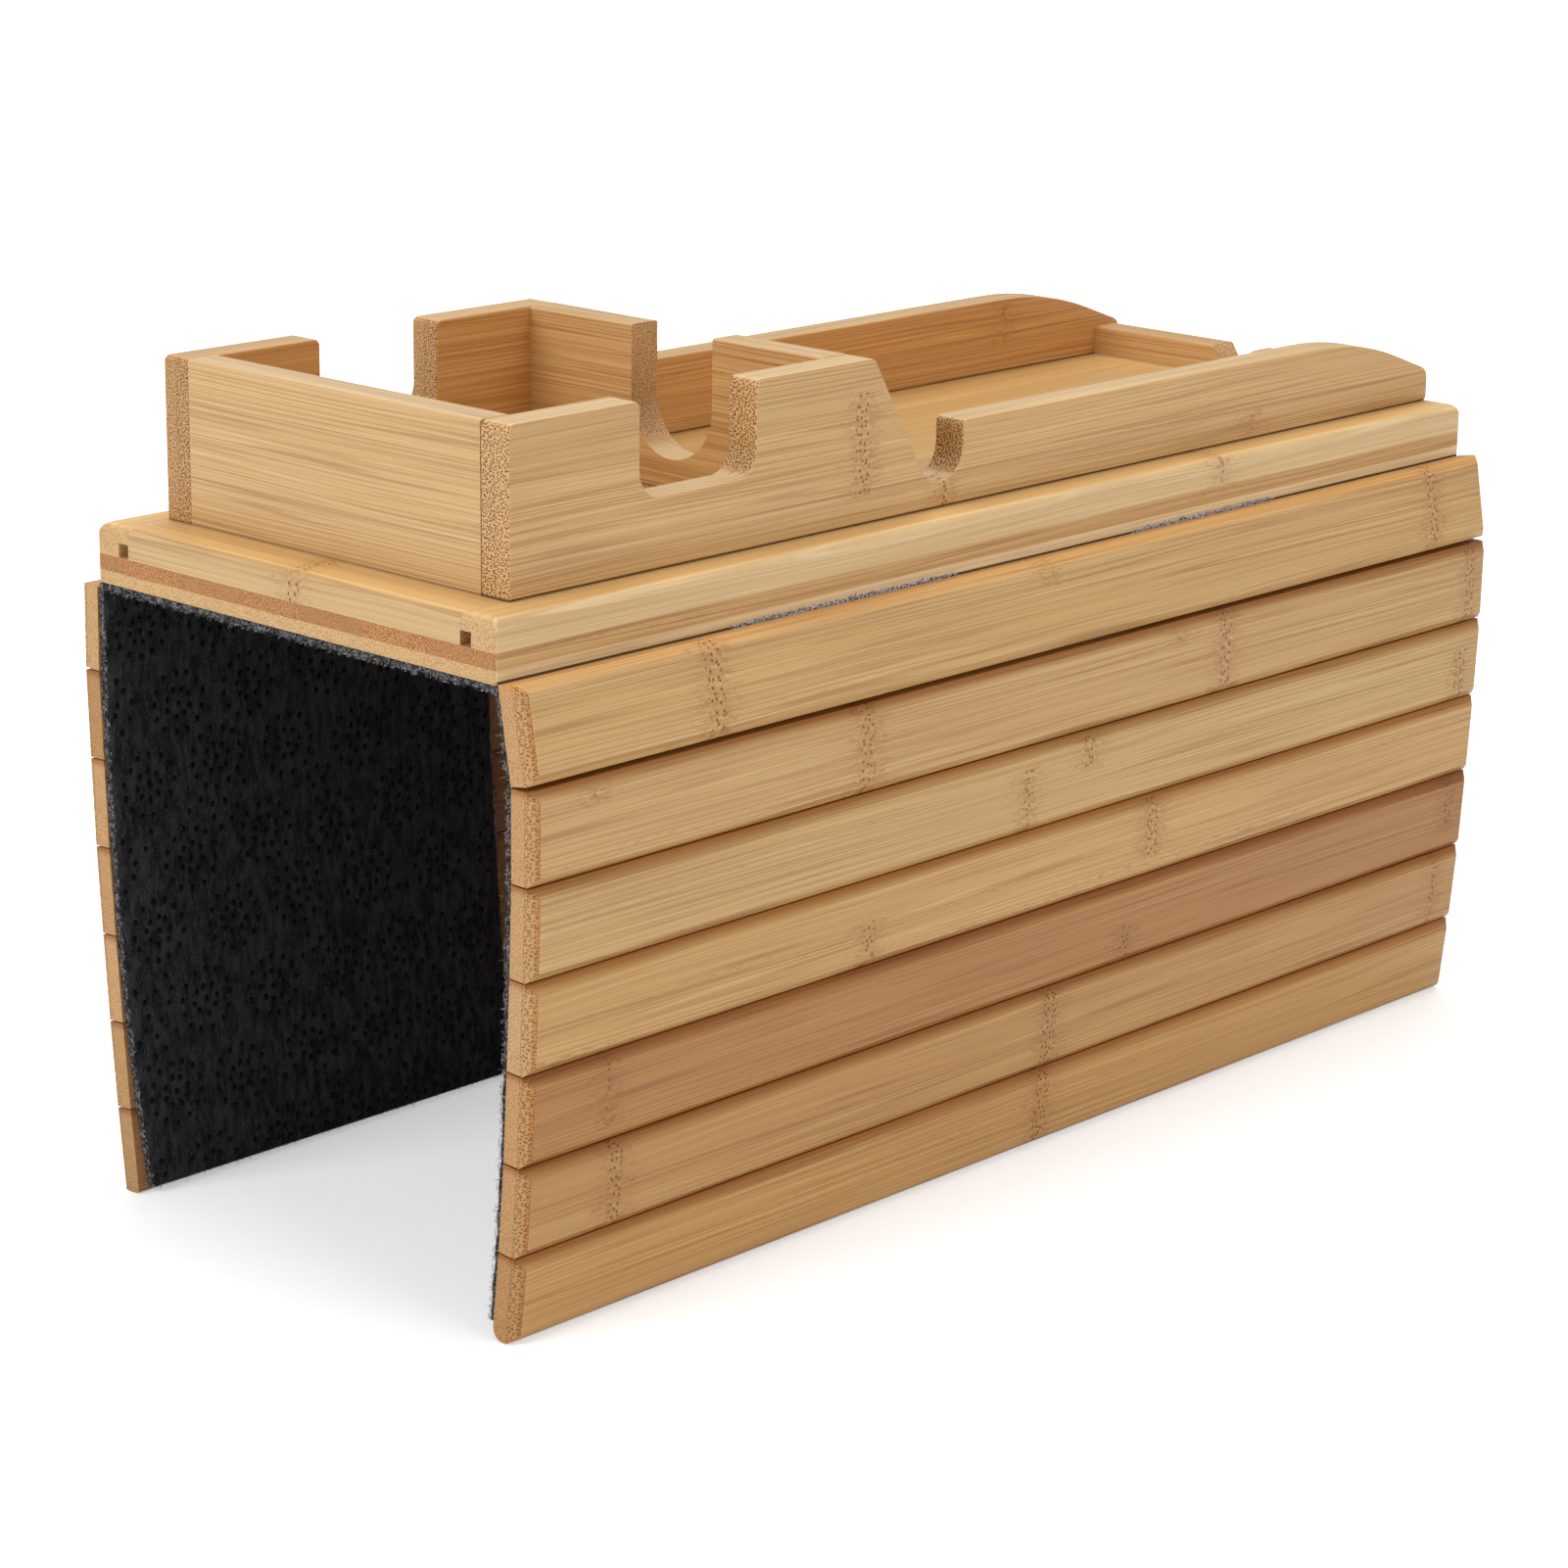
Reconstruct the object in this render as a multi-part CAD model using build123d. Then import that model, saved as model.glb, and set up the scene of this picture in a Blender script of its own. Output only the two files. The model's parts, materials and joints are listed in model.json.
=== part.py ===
from build123d import *

import os
from math import asin, atan2, cos, radians, tan

# Sofa arm tray: a bamboo board with a caddy on it, and a flap of hinged slats on each side.
# Millimetres. X runs across the sofa arm, Y along it from the cup box to the tray end, Z up.
# The origin is the centre of the front felt pad's underside, which rests on the sofa arm.

# Board
board_length = 400.0
board_width = 152.0
top_layer_thickness = 8.3
core_ply_thickness = 4.3
bottom_ply_thickness = 3.6
board_top_round = 3.0
board_corner_round = 0.8
board_bottom_round = 0.3
stile_width = 12.5
rail_width = 20.0
groove_depth = 3.9
groove_height = 3.8
tongue_clearance = 0.3
tongue_setback = 8.0

# Caddy
panel_thickness = 10.0
caddy_side_inset = 10.8
caddy_front_inset = 14.7
caddy_rear_inset = 2.5
caddy_height = 43.7
cup_box_length = 111.5
rail_height = 22.7
end_panel_height = 9.0
end_panel_setback = 2.5
edge_round = 0.8
inner_edge_round = 0.6

# Handle notch in each side panel, from the panel's front end
notch_start = 44.9
notch_width = 41.5
notch_floor = 18.7
notch_corner_round = 7.0
lip_round = 1.9

# Slot between the hump's slanted end and the rail
slot_from_hump = 35.5
slot_floor = 7.0
slot_round = 8.8
hump_round = 2.5

# Nose at the rail's far end
nose_length = 36.2
nose_slope = 19.9
nose_shoulder_round = 120.0
nose_round = 4.0
nose_foot_round = 1.5

# Notches in the divider and in the end panel
divider_notch_round = 15.3
divider_notch_floor = 8.6
end_notch_half_width = 7.5
end_notch_slope = 58.0
end_notch_depth = 6.0
end_notch_round = 2.5

# Dowels and screws
dowel_diameter = 5.0
dowel_in_side = 6.0
dowel_in_panel = 12.0
dowel_clearance = 0.05
dowel_height_shares = (0.27, 0.73)
screw_diameter = 3.5
screw_head_diameter = 7.0
screw_head_height = 2.2
screw_length = 29.0
screw_point = 4.0
screw_recess = 0.3
screw_clearance = 0.1
screw_station_shares = (0.09, 0.5, 0.88)
screw_cross_offset = 32.0

# Flaps
slat_width = 23.85
slat_gap = 0.4
slat_thickness = 8.0
slat_bevel = 2.5
slat_soft_edge = 0.6
hinge_from_board = 0.9

# Foot of each flap's last slat. It is rounded on the outer side, and differently on the felt side.
last_slat_trim = 0.4
foot_outer_round = 4.6
left_foot_inner_round = 1.0
right_foot_inner_round = 3.2

# Where the first slat of each flap starts and ends, below its hinge. The right one rises past it.
left_first_slat_start = 1.5
right_first_slat_start = -0.5
first_slat_end = 24.4

# Bend of each hinge at rest, in degrees away from a flat mat, from the board downwards
left_bend_angles = (89.0, 3.0, 0.5, 1.4, 0.5, 0.9, 1.1)
right_bend_angles = (80.1, 10.1, 1.8, 0.7, 0.5, 1.5, 1.4)
flap_angle_limit = 110.0
slat_angle_limit = 45.0

# Felt pads
felt_thickness = 2.5
felt_front_inset = 0.6
felt_left_front_length = 136.7
felt_right_front_length = 167.7
felt_rear_length = 158.0
felt_rear_inset = 2.0
felt_left_foot_inset = 1.2
felt_right_foot_inset = 4.2
felt_hinge_clearance = 0.2

# The left flap's front pad drifts back from the slats' ends from this hinge down to its foot
felt_drift_hinge = 5
felt_drift_at_foot = 2.8

overrun = 1.0

# Levels and places worked out from the sizes above
board_bottom = felt_thickness
core_bottom = board_bottom + bottom_ply_thickness
top_layer_bottom = core_bottom + core_ply_thickness
board_top = top_layer_bottom + top_layer_thickness
board_half = board_width / 2
felt_front_length = (felt_left_front_length + felt_right_front_length) / 2
board_front = -(felt_front_inset + felt_front_length / 2)
board_rear = board_front + board_length
board_middle = board_front + board_length / 2

caddy_front = board_front + caddy_front_inset
caddy_length = board_length - caddy_front_inset - caddy_rear_inset
caddy_half = board_half - caddy_side_inset
caddy_inner_half = caddy_half - panel_thickness
divider_front = caddy_front + panel_thickness + cup_box_length
end_panel_front = caddy_front + caddy_length - end_panel_setback - panel_thickness


def block(x0, x1, y0, y1, z0, z1):
    """A box from its lowest to its highest corner."""
    return Pos((x0 + x1) / 2, (y0 + y1) / 2, (z0 + z1) / 2) * Box(x1 - x0, y1 - y0, z1 - z0)


def upright_rod(radius, x, y, z0, z1):
    """A round rod along Z."""
    return Pos(x, y, (z0 + z1) / 2) * Cylinder(radius, z1 - z0)


def cross_rod(radius, x0, x1, y, z):
    """A round rod along X."""
    return Pos((x0 + x1) / 2, y, z) * Rot(0, 90, 0) * Cylinder(radius, x1 - x0)


def rounded_upright_edges(solid, radius):
    """The solid with its four upright corner edges rounded."""
    return fillet(solid.edges().filter_by(Axis.Z), radius)


# Screws and dowels: places first, because every layer they pass through is drilled there


def screw_places():
    """X and Y of each screw: three in each side panel, two in the front panel and divider."""
    side_x = caddy_half - panel_thickness / 2
    stations = [caddy_front + share * caddy_length for share in screw_station_shares]
    places = [(s * side_x, y) for s in (-1, 1) for y in stations]
    for y in (caddy_front, divider_front):
        middle = y + panel_thickness / 2
        places += [(s * screw_cross_offset, middle) for s in (-1, 1)]
    return places


def screw(x, y, extra=0):
    """A countersunk wood screw pointing up from the board's underside."""
    shank = screw_diameter / 2 + extra
    head = screw_head_diameter / 2 + extra
    foot = board_bottom + screw_recess - extra
    neck = foot + screw_head_height
    tip = board_bottom + screw_recess + screw_length + extra
    shape = upright_rod(shank, x, y, foot, tip - screw_point)
    shape += Pos(x, y, (foot + neck) / 2) * Cone(head, shank, neck - foot)
    shape += Pos(x, y, tip - screw_point / 2) * Cone(shank, 0, screw_point)
    return shape


def screw_holes():
    """The room that the screws need, open below the board."""
    bottom = board_bottom - overrun
    holes = [screw(x, y, screw_clearance) for x, y in screw_places()]
    head = screw_head_diameter / 2 + screw_clearance
    holes += [upright_rod(head, x, y, bottom, board_bottom + screw_recess) for x, y in screw_places()]
    return holes


def dowel_places():
    """Y and Z of the dowels at one side panel: two in each tall panel, one in the end panel."""
    places = []
    for y in (caddy_front, divider_front):
        for share in dowel_height_shares:
            places.append((y + panel_thickness / 2, board_top + share * caddy_height))
    places.append((end_panel_front + panel_thickness / 2, board_top + end_panel_height / 2))
    return places


def dowel(side, y, z, extra=0):
    """A dowel across the joint between a side panel and a cross panel."""
    radius = dowel_diameter / 2 + extra
    inner = caddy_inner_half - dowel_in_panel - extra
    outer = caddy_inner_half + dowel_in_side + extra
    return cross_rod(radius, min(side * inner, side * outer), max(side * inner, side * outer), y, z)


def drilled(solid, holes):
    """The solid less every hole that reaches it."""
    box = solid.bounding_box()
    for hole in holes:
        other = hole.bounding_box()
        apart = (
            other.max.X < box.min.X or other.min.X > box.max.X
            or other.max.Y < box.min.Y or other.min.Y > box.max.Y
            or other.max.Z < box.min.Z or other.min.Z > box.max.Z
        )
        if not apart:
            solid = solid - hole
    return solid


SCREW_HOLES = screw_holes()
DOWEL_HOLES = [dowel(s, y, z, dowel_clearance) for s in (-1, 1) for y, z in dowel_places()]
HOLES = SCREW_HOLES + DOWEL_HOLES


# Board


def layer(bottom, top):
    """One full layer of the board, with its corners rounded in plan."""
    slab = block(-board_half, board_half, board_front, board_rear, bottom, top)
    return rounded_upright_edges(slab, board_corner_round)


def bottom_ply():
    """The pale bottom layer, its lower rim softened."""
    slab = layer(board_bottom, core_bottom)
    rim = slab.faces().sort_by(Axis.Z)[0].edges()
    return fillet(rim, board_bottom_round)


def top_layer():
    """The top layer before it is divided, its upper rim rounded."""
    slab = layer(top_layer_bottom, board_top)
    rim = slab.faces().sort_by(Axis.Z)[-1].edges()
    return fillet(rim, board_top_round)


def stile(side):
    """A long edge piece with a groove along the foot of its inner edge."""
    inner = board_half - stile_width
    edges = sorted((side * inner, side * (board_half + overrun)))
    piece = top_layer() & block(*edges, board_front - overrun, board_rear + overrun,
                                top_layer_bottom - overrun, board_top + overrun)
    sides = sorted((side * (inner - overrun), side * (inner + groove_depth)))
    groove = block(*sides, board_front - overrun, board_rear + overrun,
                   top_layer_bottom - overrun, top_layer_bottom + groove_height)
    return piece - groove


def top_infill(y0, y1, tongue_y0, tongue_y1):
    """A piece between the stiles, with a tongue into each stile's groove."""
    inner = board_half - stile_width
    piece = top_layer() & block(-inner, inner, y0, y1, top_layer_bottom - overrun, board_top + overrun)
    reach = inner + groove_depth - tongue_clearance
    height = top_layer_bottom + groove_height - tongue_clearance
    for side in (-1, 1):
        edges = sorted((side * inner, side * reach))
        piece += block(*edges, tongue_y0, tongue_y1, top_layer_bottom, height)
    return piece


def board_pieces():
    """Every piece of the board by its name."""
    front_joint = board_front + rail_width
    rear_joint = board_rear - rail_width
    return {
        "bottom_ply": bottom_ply(),
        "core_ply": layer(core_bottom, top_layer_bottom),
        "stile_left": stile(-1),
        "stile_right": stile(1),
        "front_rail": top_infill(board_front - overrun, front_joint,
                                 board_front + tongue_setback, front_joint),
        "rear_rail": top_infill(rear_joint, board_rear + overrun,
                                rear_joint, board_rear - tongue_setback),
        "centre_panel": top_infill(front_joint, rear_joint, front_joint, rear_joint),
    }


# Caddy


def side_outline():
    """The side panel's outline as corner points and the radius at each, from its front foot."""
    hump_end = 2 * panel_thickness + cup_box_length
    notch_end = notch_start + notch_width
    # The slant is the line from the hump's end that touches the slot's round bottom
    run = slot_from_hump - slot_round
    drop = caddy_height - slot_floor - slot_round
    distance = (run ** 2 + drop ** 2) ** 0.5
    slant = atan2(drop, run) + asin(slot_round / distance)
    apex = caddy_height - slot_from_hump * tan(slant)
    slot_wall = hump_end + slot_from_hump
    shoulder = caddy_length - nose_length
    nose_top = rail_height - nose_length * tan(radians(nose_slope))
    return [
        (0, 0, 0),
        (0, caddy_height, lip_round),
        (notch_start, caddy_height, lip_round),
        (notch_start, notch_floor, notch_corner_round),
        (notch_end, notch_floor, notch_corner_round),
        (notch_end, caddy_height, lip_round),
        (hump_end, caddy_height, hump_round),
        (slot_wall, apex, slot_round),
        (slot_wall, rail_height, lip_round),
        (shoulder, rail_height, nose_shoulder_round),
        (caddy_length, nose_top, nose_round),
        (caddy_length, 0, nose_foot_round),
    ]


def side_panel(side):
    """A side panel: the outline carried through its thickness, every upper edge softened."""
    points = [(y, z) for y, z, r in side_outline()]
    radii = [r for y, z, r in side_outline()]
    face = make_face(Plane.YZ * FilletPolyline(*points, radius=radii, close=True))
    panel = extrude(face, amount=panel_thickness, dir=(1, 0, 0))
    inner_face = panel.faces().sort_by(Axis.X)[0]
    outer_face = panel.faces().sort_by(Axis.X)[-1]
    panel = fillet([e for e in outer_face.edges() if e.center().Z > 0], edge_round)
    panel = fillet([e for e in panel.edges() if on_face(e, inner_face)], inner_edge_round)
    panel = Pos(caddy_inner_half, caddy_front, board_top) * panel
    return panel if side > 0 else mirror(panel, about=Plane.YZ)


def on_face(edge, face):
    """Whether an upper edge lies in the face's plane of constant X."""
    box = edge.bounding_box()
    plane = face.center().X
    tolerance = edge_round / 100
    in_plane = abs(box.min.X - plane) < tolerance and abs(box.max.X - plane) < tolerance
    return in_plane and edge.center().Z > tolerance


def cross_panel(front, height, notch=None):
    """A panel between the side panels, less its notch, with its upper edges rounded."""
    panel = block(-caddy_inner_half, caddy_inner_half, front, front + panel_thickness,
                  board_top, board_top + height)
    rim = panel.faces().sort_by(Axis.Z)[-1].edges().filter_by(Axis.X)
    panel = fillet(rim, edge_round)
    if notch is not None:
        panel = panel - notch
    return panel


def divider_notch():
    """A round-bottomed notch through the divider."""
    centre = board_top + divider_notch_floor + divider_notch_round
    front = divider_front - overrun
    back = divider_front + panel_thickness + overrun
    middle = divider_front + panel_thickness / 2
    round_part = Pos(0, middle, centre) * Rot(90, 0, 0) * Cylinder(divider_notch_round, back - front)
    straight = block(-divider_notch_round, divider_notch_round, front, back,
                     centre, board_top + caddy_height + overrun)
    return round_part + straight


def end_notch():
    """A small notch with slanted sides through the end panel."""
    floor = board_top + end_panel_height - end_notch_depth
    top = board_top + end_panel_height + overrun
    spread = 1 / tan(radians(end_notch_slope))
    top_half = end_notch_half_width + overrun * spread
    floor_half = end_notch_half_width - end_notch_depth * spread
    points = [(-top_half, top), (-floor_half, floor), (floor_half, floor), (top_half, top)]
    radii = [0, end_notch_round, end_notch_round, 0]
    face = make_face(Plane.XZ * FilletPolyline(*points, radius=radii, close=True))
    cut = extrude(face, amount=panel_thickness + 2 * overrun, dir=(0, 1, 0))
    return Pos(0, end_panel_front - overrun, 0) * cut


def caddy_pieces():
    """Every piece of the caddy by its name."""
    dowels = [dowel(s, y, z) for s in (-1, 1) for y, z in dowel_places()]
    return {
        "side_panel_left": side_panel(-1),
        "side_panel_right": side_panel(1),
        "front_panel": cross_panel(caddy_front, caddy_height),
        "divider": cross_panel(divider_front, caddy_height, divider_notch()),
        "end_panel": cross_panel(end_panel_front, end_panel_height, end_notch()),
        "corner_dowels": Compound(children=dowels),
        "caddy_screws": Compound(children=[screw(x, y) for x, y in screw_places()]),
    }


# Flaps. Each slat is modelled hanging straight down from its own hinge line at the origin,
# with its felt side at X = 0, and is then turned and moved to its place on the right flap.
# The left flap is made the same way and mirrored.


def upright_slat(side, first, last):
    """A slat with its outer face bevelled all round, and the last one with a rounded foot."""
    foot = -last_slat_foot() if last else -slat_end(first)
    slat = block(0, slat_thickness, board_front, board_rear, foot, -slat_start(side, first))
    slat = chamfer(slat.faces().sort_by(Axis.X)[-1].edges(), slat_bevel)
    slat = fillet(slat.faces().sort_by(Axis.X)[-1].edges(), slat_soft_edge)
    return slat & foot_profile(side) if last else slat


def last_slat_foot():
    """How far below its hinge line the last slat ends."""
    return slat_end(False) - last_slat_trim


def foot_profile(side):
    """The last slat's section with its rounded foot, carried past both of its ends."""
    foot = -last_slat_foot()
    inner_round = right_foot_inner_round if side > 0 else left_foot_inner_round
    points = [(0, overrun), (0, foot), (slat_thickness, foot), (slat_thickness, overrun)]
    radii = [0, inner_round, foot_outer_round, 0]
    face = make_face(Plane.XZ * FilletPolyline(*points, radius=radii, close=True))
    profile = extrude(face, amount=board_length + 2 * overrun, dir=(0, 1, 0))
    return Pos(0, board_front - overrun, 0) * profile


def mitre_inset(limit):
    """How far the felt's free face is cut back so that the seam folds up to the limit."""
    return felt_thickness * tan(radians(limit / 2))


def mitre_start(limit):
    """How far from the hinge line the felt starts on its glued face."""
    return felt_hinge_clearance / cos(radians(limit / 2))


def felt_drift(hinge):
    """How far the left flap's front pad has drifted back at a hinge. The square of the hinges
    passed, so that it grows towards the foot."""
    count = len(left_bend_angles) + 1 - felt_drift_hinge
    return felt_drift_at_foot * (max(0, hinge - felt_drift_hinge) / count) ** 2


def drift_cut(number, lower_hinge):
    """What the drift takes off the front of the pad on one slat."""
    edge = board_front + felt_front_inset
    outline = Polyline((edge - overrun, 0), (edge + felt_drift(number), 0),
                       (edge + felt_drift(number + 1), lower_hinge), (edge - overrun, lower_hinge),
                       close=True)
    cut = extrude(make_face(Plane.YZ * outline), amount=felt_thickness + 2 * overrun, dir=(1, 0, 0))
    return Pos(-felt_thickness - overrun, 0, 0) * cut


def felt_on_slat(side, number, last):
    """Both pads where they lie on one slat, mitred at the hinges above and below."""
    first = number == 1
    upper_limit = flap_angle_limit if first else slat_angle_limit
    upper = -mitre_start(upper_limit)
    upper_inset = mitre_inset(upper_limit)
    lower_hinge = -(slat_end(first) + slat_gap / 2)
    if last:
        lower = -last_slat_foot() + (felt_right_foot_inset if side > 0 else felt_left_foot_inset)
        lower_inset = 0
    else:
        lower = lower_hinge + mitre_start(slat_angle_limit)
        lower_inset = mitre_inset(slat_angle_limit)
    outline = Polyline((0, upper), (0, lower), (-felt_thickness, lower + lower_inset),
                       (-felt_thickness, upper - upper_inset), close=True)
    face = make_face(Plane.XZ * outline)
    front_length = felt_right_front_length if side > 0 else felt_left_front_length
    front_pad = extrude(face, amount=front_length, dir=(0, 1, 0))
    front_pad = Pos(0, board_front + felt_front_inset, 0) * front_pad
    if side < 0 and number >= felt_drift_hinge:
        front_pad = front_pad - drift_cut(number, lower_hinge)
    rear_pad = extrude(face, amount=felt_rear_length, dir=(0, 1, 0))
    rear_pad = Pos(0, board_rear - felt_rear_inset - felt_rear_length, 0) * rear_pad
    return [front_pad, rear_pad]


def slat_start(side, first):
    """How far below its hinge line a slat starts."""
    if first:
        return right_first_slat_start if side > 0 else left_first_slat_start
    return slat_gap / 2


def slat_end(first):
    """How far below its hinge line a slat ends."""
    return first_slat_end if first else slat_gap / 2 + slat_width


def slat_places(side):
    """Where each slat hangs on the right flap: its hinge line, and its lean about +Y."""
    bends = right_bend_angles if side > 0 else left_bend_angles
    hinge = Location((board_half + hinge_from_board, 0, board_bottom))
    lean = -90.0
    places = []
    for bend in bends:
        lean += bend
        place = Location(hinge.position, (0, lean, 0))
        drop = slat_end(not places) + slat_gap / 2
        places.append(place)
        hinge = place * Location((0, 0, -drop))
    return places


def flap(side):
    """The flap's slats and felt pieces by their names, from the board downwards."""
    word = "right" if side > 0 else "left"
    places = slat_places(side)
    pieces = {}
    for number, place in enumerate(places, 1):
        first = place is places[0]
        last = place is places[-1]
        slat = place * upright_slat(side, first, last)
        felt = [place * pad for pad in felt_on_slat(side, number, last)]
        if side < 0:
            slat = mirror(slat, about=Plane.YZ)
            felt = [mirror(pad, about=Plane.YZ) for pad in felt]
        pieces[f"slat_{word}_{number}"] = slat
        pieces[f"felt_{word}_{number}"] = Compound(children=felt)
    return pieces


def board_felt():
    """Both pads under the board. The front pad's rear edge runs from one flap's to the other's."""
    glued = board_half + hinge_from_board - mitre_start(flap_angle_limit)
    free = glued - mitre_inset(flap_angle_limit)
    outline = Polyline((-glued, board_bottom), (glued, board_bottom), (free, 0), (-free, 0),
                       close=True)
    section = make_face(Plane.XZ * outline)
    front = board_front + felt_front_inset
    rear = board_rear - felt_rear_inset - felt_rear_length
    longest = max(felt_left_front_length, felt_right_front_length)
    front_pad = Pos(0, front, 0) * extrude(section, amount=longest, dir=(0, 1, 0))
    plan = Polyline((-glued, front - overrun), (glued, front - overrun),
                    (glued, front + felt_right_front_length),
                    (-glued, front + felt_left_front_length), close=True)
    front_pad = front_pad & extrude(make_face(plan), amount=board_bottom)
    rear_pad = Pos(0, rear, 0) * extrude(section, amount=felt_rear_length, dir=(0, 1, 0))
    return Compound(children=[front_pad, rear_pad])


def main():
    """Drill the rigid pieces, then write every piece to its own file."""
    pieces = {}
    for name, solid in (board_pieces() | caddy_pieces()).items():
        loose = name in ("corner_dowels", "caddy_screws")
        pieces[name] = solid if loose else drilled(solid, HOLES)
    pieces["board_felt"] = board_felt()
    for side in (-1, 1):
        pieces.update(flap(side))
    os.makedirs("parts", exist_ok=True)
    for name, solid in pieces.items():
        export_step(solid, f"parts/{name}.step")
    print(len(pieces), "nodes written")


main()
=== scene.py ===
import json
from math import acos, cos, pi, radians, sin, sqrt, tan

import bpy
import numpy as np
from mathutils import Matrix, Vector


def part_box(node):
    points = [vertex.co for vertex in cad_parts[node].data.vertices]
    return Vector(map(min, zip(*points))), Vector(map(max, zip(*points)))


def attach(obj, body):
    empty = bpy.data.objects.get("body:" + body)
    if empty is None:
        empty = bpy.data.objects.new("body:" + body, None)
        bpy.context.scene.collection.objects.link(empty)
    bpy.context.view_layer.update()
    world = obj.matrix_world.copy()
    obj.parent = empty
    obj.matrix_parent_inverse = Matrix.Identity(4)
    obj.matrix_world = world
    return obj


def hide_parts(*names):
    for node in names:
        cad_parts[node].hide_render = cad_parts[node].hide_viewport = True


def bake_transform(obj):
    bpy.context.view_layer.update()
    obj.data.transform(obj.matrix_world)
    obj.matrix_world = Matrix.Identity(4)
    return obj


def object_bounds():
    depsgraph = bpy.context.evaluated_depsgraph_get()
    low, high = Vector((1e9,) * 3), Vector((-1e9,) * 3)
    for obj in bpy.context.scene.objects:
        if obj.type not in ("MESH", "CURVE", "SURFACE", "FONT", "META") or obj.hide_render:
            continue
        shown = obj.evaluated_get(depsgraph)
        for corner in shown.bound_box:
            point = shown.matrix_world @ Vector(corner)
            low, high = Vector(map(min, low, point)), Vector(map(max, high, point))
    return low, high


# The looks of a bamboo sofa arm tray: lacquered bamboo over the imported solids, and needle felt
# pads that bend at every seam. Metres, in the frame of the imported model.

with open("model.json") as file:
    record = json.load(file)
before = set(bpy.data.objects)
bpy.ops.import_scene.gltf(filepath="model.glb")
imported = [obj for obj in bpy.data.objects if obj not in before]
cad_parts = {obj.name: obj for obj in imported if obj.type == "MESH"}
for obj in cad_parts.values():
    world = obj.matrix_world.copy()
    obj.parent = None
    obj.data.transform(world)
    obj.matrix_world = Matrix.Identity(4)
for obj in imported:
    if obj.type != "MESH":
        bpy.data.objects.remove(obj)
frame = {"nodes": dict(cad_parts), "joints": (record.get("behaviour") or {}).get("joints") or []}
cad_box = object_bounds()

MM = 0.001
SLATS = 7
WORD = {-1: "left", 1: "right"}
X, Y, Z = (1.0, 0.0, 0.0), (0.0, 1.0, 0.0), (0.0, 0.0, 1.0)

node_box = {name: [np.array(corner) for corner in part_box(name)] for name in frame["nodes"]}
board_front = node_box["bottom_ply"][0][1]
board_rear = node_box["bottom_ply"][1][1]
glued_level = node_box["bottom_ply"][0][2]
board_top = node_box["front_rail"][1][2]
board_half = node_box["bottom_ply"][1][0]

# Felt pads, as long and thick as their solids
felt_thickness = 2.5 * MM
felt_end_below = {-1: 22.45 * MM, 1: 19.45 * MM}
felt_drift = 2.8 * MM
front_pad_inset = 0.6 * MM
rear_pad_inset = 2.0 * MM
front_pad_lengths = {-1: 136.7 * MM, 1: 167.7 * MM}
rear_pad_length = 158.0 * MM

# Where felt shows in the seam between the board and the right flap, from and to along the board
SQUEEZED = ((2.5 * MM, 93.0 * MM), (163.0 * MM, 231.0 * MM))


# The hinge chains


def hinge_chain(side):
    """A flap's hinges from the board down, and each slat's inward lean at rest, in radians.
    A lean is the sum of the bends above the slat, less the right angle from board to flap."""
    named = {joint["name"]: joint for joint in frame["joints"]}
    chain = [named[f"{WORD[side]}_hinge_{n + 1}"] for n in range(SLATS)]
    bends = [chain[0]["range_deg"][1]] + [-joint["range_deg"][0] for joint in chain[1:]]
    places = [np.array(joint["pos_m"]) for joint in chain]
    return places, [radians(total - 90.0) for total in np.cumsum(bends)]


CHAINS = {side: hinge_chain(side) for side in WORD}


def slat_directions(side, number):
    """The directions down a slat and out of its show face. Numbers start from 0."""
    lean = CHAINS[side][1][number]
    down = np.array([-side * sin(lean), 0.0, -cos(lean)])
    return down, np.array([side * cos(lean), 0.0, -sin(lean)])


def added(name, data):
    """A new object in the scene."""
    obj = bpy.data.objects.new(name, data)
    bpy.context.scene.collection.objects.link(obj)
    return obj


# Shader maths


class Value:
    """The output of a shader node, used in sums as if it were a number."""

    def __init__(self, paint, socket):
        self.paint = paint
        self.socket = socket

    def maths(self, operation, *terms):
        return self.paint.node("ShaderNodeMath", {"operation": operation}, dict(enumerate(terms)))

    def __add__(self, other):
        return self.maths("ADD", self, other)

    def __radd__(self, other):
        return self.maths("ADD", other, self)

    def __sub__(self, other):
        return self.maths("SUBTRACT", self, other)

    def __rsub__(self, other):
        return self.maths("SUBTRACT", other, self)

    def __mul__(self, other):
        return self.maths("MULTIPLY", self, other)

    def __rmul__(self, other):
        return self.maths("MULTIPLY", other, self)

    def __truediv__(self, other):
        return self.maths("DIVIDE", self, other)

    def __abs__(self):
        return self.maths("ABSOLUTE", self)

    def __gt__(self, other):
        return self.maths("GREATER_THAN", self, other)

    def floor(self):
        return self.maths("FLOOR", self)

    def larger(self, other):
        return self.maths("MAXIMUM", self, other)

    def ramp(self, low, high):
        """0 at low, 1 at high and a smooth step between them, whichever of the two is larger."""
        settings = {"interpolation_type": "SMOOTHSTEP", "clamp": True}
        sockets = {"Value": self, "From Min": low, "From Max": high}
        if low > high:
            sockets.update({"From Min": high, "From Max": low, "To Min": 1.0, "To Max": 0.0})
        return self.paint.node("ShaderNodeMapRange", settings, sockets)


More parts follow.
